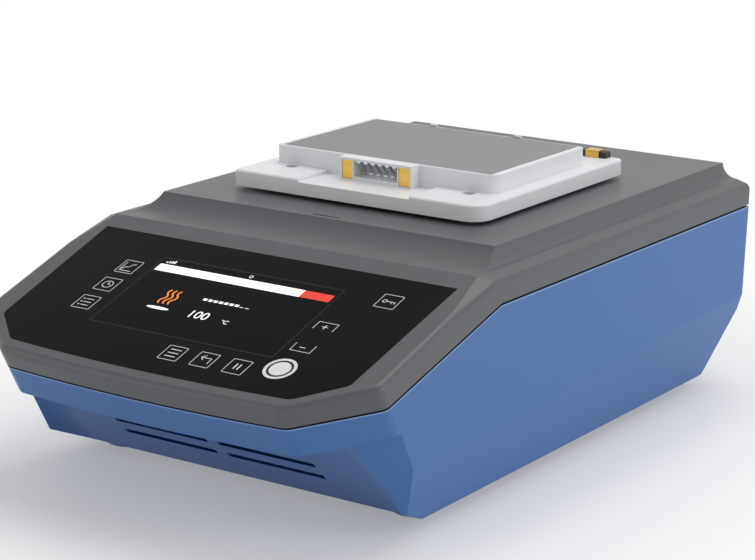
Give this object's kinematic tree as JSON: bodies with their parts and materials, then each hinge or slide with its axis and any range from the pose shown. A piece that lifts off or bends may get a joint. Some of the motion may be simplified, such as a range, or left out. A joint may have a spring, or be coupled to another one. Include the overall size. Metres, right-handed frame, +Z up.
{
  "type": "thermal mixer",
  "caption": "Bench thermal mixer: wedge-shaped casing with a sloping glass control panel and, behind it, a heated plate on a tray that runs on a small horizontal orbit.",
  "frame": {"origin": "under the middle of the casing's length and width, on the bench that the feet stand on", "axes": "+X to the right seen from the control panel, +Y from the control panel to the back, +Z up"},
  "size_m": [0.2348, 0.3718, 0.1405],
  "materials": {
    "casing_blue": "fine matte texture",
    "cover_grey": "fine matte texture",
    "panel_glass": "glass printed black from behind",
    "display_black": "dark display face",
    "board_green": "solder mask",
    "black_plastic": "moulded, matte",
    "light_ring": "translucent white",
    "button_white": "smooth white",
    "foot_rubber": "matte",
    "zinc_steel": "zinc plated",
    "sheet_steel": "plated sheet",
    "aluminium": "machined",
    "motor_case": "cast, dark",
    "bearing_steel": "ground",
    "shaft_steel": "ground",
    "white_plastic": "smooth satin",
    "contact_brass": "polished",
    "spring_steel": "bright",
    "plate_aluminium": "bead blasted and anodised",
    "heater_orange": "silicone mat",
    "insulation": "pressed fibre board",
    "pin_nickel": "nickel plated",
    "port_metal": "nickel plated"
  },
  "bodies": {
    "housing": {"lower_casing": "casing_blue", "top_cover": "cover_grey", "glass_panel": "panel_glass", "display_module": "display_black", "controller_board": "board_green", "driver_board": "board_green", "button_sleeve": "black_plastic", "inlet_socket": "black_plastic", "switch_frame": "black_plastic", "fan_frame": "black_plastic", "light_ring": "light_ring", "foot_pads": "foot_rubber", "casing_screws": "zinc_steel", "chassis_screws": "zinc_steel", "frame_screws": "zinc_steel", "motor_screws": "zinc_steel", "chassis_plate": "sheet_steel", "power_supply": "sheet_steel", "drive_pillars": "aluminium", "drive_frame": "aluminium", "motor": "motor_case", "main_bearing": "bearing_steel", "idler_bearings": "bearing_steel", "inlet_pins": "pin_nickel", "usb_port": "port_metal", "serial_port": "port_metal"},
    "drive": {"drive_shaft": "shaft_steel"},
    "table": {"table_carrier": "aluminium", "carrier_bearings": "bearing_steel", "table_tray": "white_plastic", "table_screws": "zinc_steel", "table_rim": "white_plastic", "connector_housing": "white_plastic", "contact_blocks": "contact_brass", "contact_fingers": "spring_steel", "insulation_pad": "insulation", "heater_mat": "heater_orange", "heating_plate": "plate_aluminium", "block_clips": "spring_steel", "latch_block": "black_plastic", "latch_strip": "contact_brass"},
    "start_button": {"start_button": "button_white"},
    "rocker": {"power_rocker": "black_plastic"},
    "fuse_drawer": {"fuse_drawer": "black_plastic"},
    "fan": {"fan_rotor": "black_plastic"},
    "idler_front_left": {"idler_crank_front_left": "shaft_steel"},
    "idler_front_right": {"idler_crank_front_right": "shaft_steel"},
    "idler_rear_left": {"idler_crank_rear_left": "shaft_steel"},
    "idler_rear_right": {"idler_crank_rear_right": "shaft_steel"}
  },
  "joints": [
    {"name": "drive_spin", "type": "hinge", "parent": "housing", "child": "drive", "pos_m": [0, 0.052, 0.08], "axis": [0, 0, 1], "continuous": true},
    {"name": "table_counter", "type": "hinge", "parent": "drive", "child": "table", "pos_m": [0, 0.0535, 0.096], "axis": [0, 0, 1], "continuous": true},
    {"name": "idler_front_left_spin", "type": "hinge", "parent": "housing", "child": "idler_front_left", "pos_m": [-0.033, 0.028, 0.08], "axis": [0, 0, 1], "continuous": true},
    {"name": "idler_front_right_spin", "type": "hinge", "parent": "housing", "child": "idler_front_right", "pos_m": [0.033, 0.028, 0.08], "axis": [0, 0, 1], "continuous": true},
    {"name": "idler_rear_left_spin", "type": "hinge", "parent": "housing", "child": "idler_rear_left", "pos_m": [-0.033, 0.076, 0.08], "axis": [0, 0, 1], "continuous": true},
    {"name": "idler_rear_right_spin", "type": "hinge", "parent": "housing", "child": "idler_rear_right", "pos_m": [0.033, 0.076, 0.08], "axis": [0, 0, 1], "continuous": true},
    {"name": "button_press", "type": "slide", "parent": "housing", "child": "start_button", "axis": [0, 0.319, -0.9478], "range_m": [0, 0.0008], "stiffness_N_per_m": 800},
    {"name": "rocker_tilt", "type": "hinge", "parent": "housing", "child": "rocker", "pos_m": [0.02, 0.18222, 0.07007], "axis": [1, 0, 0], "range_deg": [0, 16]},
    {"name": "fuse_drawer_slide", "type": "slide", "parent": "housing", "child": "fuse_drawer", "axis": [0, 0.9994, -0.035], "range_m": [0, 0.014]},
    {"name": "fan_spin", "type": "hinge", "parent": "housing", "child": "fan", "pos_m": [-0.074, 0.17623, 0.07028], "axis": [0, 0.9994, -0.035], "continuous": true}
  ],
  "couplings": [
    {"joint": "table_counter", "follows": "drive_spin", "ratio": -1},
    {"joint": "idler_front_left_spin", "follows": "drive_spin", "ratio": 1},
    {"joint": "idler_front_right_spin", "follows": "drive_spin", "ratio": 1},
    {"joint": "idler_rear_left_spin", "follows": "drive_spin", "ratio": 1},
    {"joint": "idler_rear_right_spin", "follows": "drive_spin", "ratio": 1}
  ]
}
